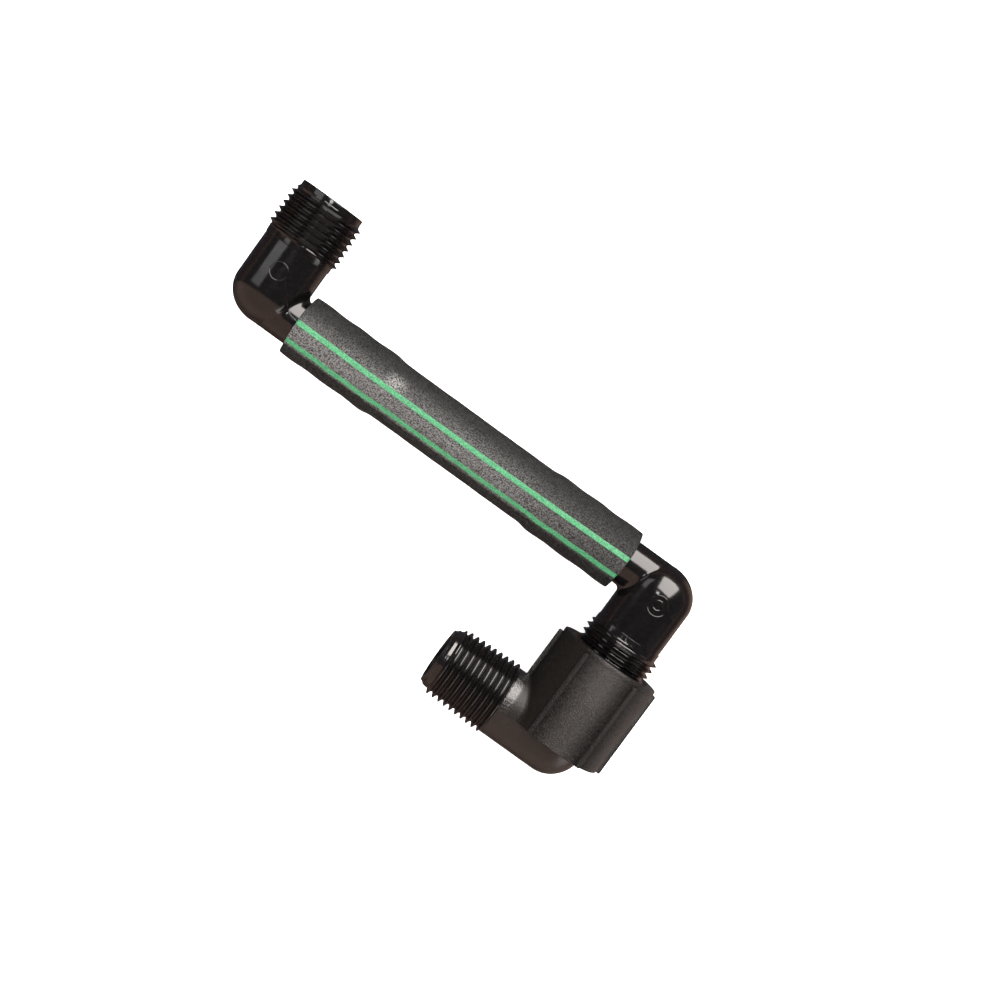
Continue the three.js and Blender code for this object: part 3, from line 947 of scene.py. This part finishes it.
def pipe_black():
    """Extruded polyethylene with a painted sheen, lighter grey along the top and fading towards the +X
    end, and a painted highlight near the upper barb.
    """
    material, tree, shader = new_material("pipe_black")
    x, y, z = place_of(tree)
    # Painted sheen: a lighter band along the top, between the stripes, cut off past the side stripe and
    # fading towards the +X end, where the light falls; it raises the specular too.
    up_side = ranged(tree, y, axis_y + 6.5 * MM, axis_y - 3.0 * MM)
    down_side = ranged(tree, y, axis_y - 6.0 * MM, axis_y - 5.0 * MM)
    along = ramp(tree, ranged(tree, x, pipe_high.x, pipe_low.x), [(0.0, 0.3), (0.3, 0.85), (1.0, 1.0)])
    painted_sheen = product(tree, up_side, down_side, along)

    # Painted highlight: a small pale patch on the top of the pipe near the upper barb.
    spot_x = pipe_low.x + PAINTED_GLINT_SPOT[0] * MM
    spot_y = axis_y + PAINTED_GLINT_SPOT[1] * MM
    painted_glint = product(
        tree,
        ranged(tree, x, spot_x, spot_x + 3 * MM),
        ranged(tree, x, spot_x + 8 * MM, spot_x + 4 * MM),
        ranged(tree, y, spot_y - 1.5 * MM, spot_y),
        ranged(tree, y, spot_y + 4 * MM, spot_y + 1 * MM),
        ranged(tree, z, axis_z, axis_z + 1 * MM),
    )

    speckle = noise(tree, 3000, 2, 0.65)
    clean = ramp(tree, speckle, [(0.42, (0.001, 0.0011, 0.001)), (0.59, (0.02, 0.0205, 0.02))])
    sheen_colour = ramp(tree, speckle, [(0.42, (0.002, 0.0021, 0.002)), (0.59, (0.125, 0.127, 0.125))])
    glint_colour = ramp(tree, speckle, [(0.42, (0.01, 0.0105, 0.01)), (0.58, (0.19, 0.19, 0.185))])
    skin = blend(tree, painted_sheen, clean, sheen_colour)
    tree.links.new(blend(tree, painted_glint, skin, glint_colour), shader.inputs["Base Color"])
    shine = ramp(tree, painted_sheen, [(0.0, 0.12), (1.0, 0.6)])
    tree.links.new(shine, shader.inputs["Specular IOR Level"])
    grain(tree, shader, 0.9)
    return material


def stripe_green():
    """Green polyethylene, mottled as the pipe is."""
    material, tree, shader = new_material("stripe_green")
    dark, light = (0.006, 0.09, 0.035), (0.06, 0.26, 0.115)
    mottle = ramp(tree, noise(tree, 3000, 3, 0.7), [(0.36, dark), (0.66, light)])
    tree.links.new(mottle, shader.inputs["Base Color"])
    grain(tree, shader, 0.6)
    return material


def floor_white():
    """A light table: white paper that glows, so that shadows on it stay faint."""
    material, tree, shader = new_material("floor_white")
    colour = ramp(tree, noise(tree, 40, 2), [(0.3, 0.86), (0.7, 0.89)])
    tree.links.new(colour, shader.inputs["Base Color"])
    shader.inputs["Roughness"].default_value = 0.9
    shader.inputs["Emission Color"].default_value = (1, 1, 1, 1)
    shader.inputs["Emission Strength"].default_value = 0.6
    return material


# ---------------------------------------------------------------- the pieces

gloss, satin, black, green = gloss_black(), satin_black(), pipe_black(), stripe_green()

upper_marks = [ring_mark("pin_mark", 0.2, 8.3, 2.35), parting_line("flash", PARTING_LINE)]
upper = insert_elbow("upper_elbow_skin", 0.52, upper_marks)
upper_bend = (upper_stem_x, axis_y, axis_z)
finish_piece(upper, NO_TURN, upper_bend, "upper_elbow", "upper_elbow", gloss)

lower_marks = [
    ring_mark("pin_mark", -0.3, 3.9, 2.75, 0.14),
    ring_mark("gate_mark", -0.2, 3.8, 1.3, 0.2, 30),
]
lower = insert_elbow("lower_elbow_skin", 0.3, lower_marks)
lower_bend = (lower_stem_x, axis_y, axis_z)
finish_piece(lower, HALF_TURN, lower_bend, "lower_elbow", "lower_elbow", gloss)

street = street_elbow("street_elbow_skin", 0.2)
street_bend = (lower_stem_x, socket_rim_y - SOCKET_LENGTH * MM, axis_z)
finish_piece(street, NO_TURN, street_bend, "street_elbow", "street_elbow", satin)

skin = swing_pipe("swing_pipe_skin")
finish_piece(skin, NO_TURN, pipe_middle, "swing_pipe", "swing_pipe", black, 50)
for side, angle in STRIPE_ANGLES.items():
    stripe = f"pipe_stripe_{side}"
    strip = pipe_stripe(f"{stripe}_skin", angle)
    finish_piece(strip, NO_TURN, pipe_middle, "swing_pipe", stripe, green, 50)

# ---------------------------------------------------------------- floor, light and camera

scene = bpy.context.scene
scene.view_settings.view_transform = "Standard"


def add_floor():
    """A flat round floor that curves up into a low wall, and isn't seen in reflections."""
    segments = 64
    profile = [(0.0, 0.0), (1.6, 0.0), (1.9, 0.03), (2.2, 0.14), (2.4, 0.32), (2.5, 0.6), (2.5, 1.6)]
    points, faces = [], []
    for radius, height in profile:
        for k in range(segments):
            turn = 2 * math.pi * k / segments
            points.append((radius * math.cos(turn), radius * math.sin(turn), cad_low.z + height))
    for i in range(len(profile) - 1):
        for k in range(segments):
            n = (k + 1) % segments
            here, above = i * segments, (i + 1) * segments
            faces.append((here + k, above + k, above + n, here + n))
    floor = make_object("floor", points, faces)
    floor.data.shade_smooth()
    floor.data.materials.append(floor_white())
    floor.visible_glossy = False


def add_softbox(name, place, target, width, height, radiance, reflected=True, colour=(1, 1, 1)):
    """A rectangular lamp of the given brightness, aimed at a target; reflected=False only lights."""
    data = bpy.data.lights.new(name, "AREA")
    data.shape = "RECTANGLE"
    data.size, data.size_y = width, height
    data.energy = radiance * math.pi * width * height
    data.color = colour
    lamp = bpy.data.objects.new(name, data)
    scene.collection.objects.link(lamp)
    lamp.location = place
    lamp.rotation_euler = (Vector(target) - Vector(place)).to_track_quat("-Z", "Y").to_euler()
    lamp.visible_camera = False
    lamp.visible_glossy = reflected


def add_world():
    """A dim studio: dark overhead, with a warm glow round the horizon, towards -Y and low towards +X."""
    world = bpy.data.worlds.new("studio")
    world.use_nodes = True
    scene.world = world
    tree = world.node_tree
    x, y, z = place_of(tree, "Generated")
    rising = ranged(tree, z, -1.0, 1.0)
    horizon = ramp(tree, rising, [(0.0, 0.06), (0.4, 0.14), (0.5, 0.4), (0.56, 0.1), (0.62, 0.0)])
    below = ramp(tree, ranged(tree, z, -0.7, 0.0), [(0.0, 0.15), (1.0, 0.85)])
    front = product(tree, ranged(tree, y, -0.24, -0.34), below)
    low_down = ramp(tree, ranged(tree, z, -0.3, -0.6), [(0.0, 0.0), (1.0, 0.5)])
    right = product(tree, ranged(tree, x, 0.25, 0.5), low_down)
    glow = lighter(tree, lighter(tree, horizon, front), right)
    warm = product(tree, glow, (1.0, 0.68, 0.56, 1))
    overhead = (0.07, 0.07, 0.082, 1)
    tree.links.new(lighter(tree, warm, overhead), tree.nodes["Background"].inputs["Color"])


def add_camera():
    """A camera nearly overhead, turned so that the pipe runs down to the right."""
    target = pipe_middle + Vector((16.45, -6.18, 0)) * MM
    back = Vector((-0.0506, 0.0576, 0.997)).normalized()
    distance = 0.46
    data = bpy.data.cameras.new("camera")
    data.sensor_width = 36.0
    data.lens = 64.3
    data.clip_start, data.clip_end = 0.01, 20.0
    camera = bpy.data.objects.new("camera", data)
    scene.collection.objects.link(camera)
    right = Vector((-0.588, 0.809, 0)).cross(back).normalized()
    up = back.cross(right)
    turn = Matrix((right, up, back)).transposed().to_4x4()
    camera.matrix_world = Matrix.Translation(target + back * distance) @ turn
    scene.camera = camera


add_floor()
add_world()
add_softbox("key", (0.12, 0.59, 0.45), (0, 0, 0), 0.7, 0.78, 11, colour=(1.0, 0.94, 0.9))
add_softbox("left", (-0.245, 0.13, 0.17), (-0.245, 0.13, 0), 0.2, 0.25, 1.9)
add_softbox("right", (0.42, -0.18, 0.1), (lower_stem_x, -0.03, 0.01), 0.25, 0.2, 2.5)
add_softbox("glint", (-0.041, 0.104, 0.45), (0, 0, 0), 0.07, 0.07, 14)
# The photo shows no reflection of this one.
add_softbox("fill", (0.0, -0.5, 0.8), (0, 0, 0), 0.5, 0.5, 14, reflected=False)
add_camera()
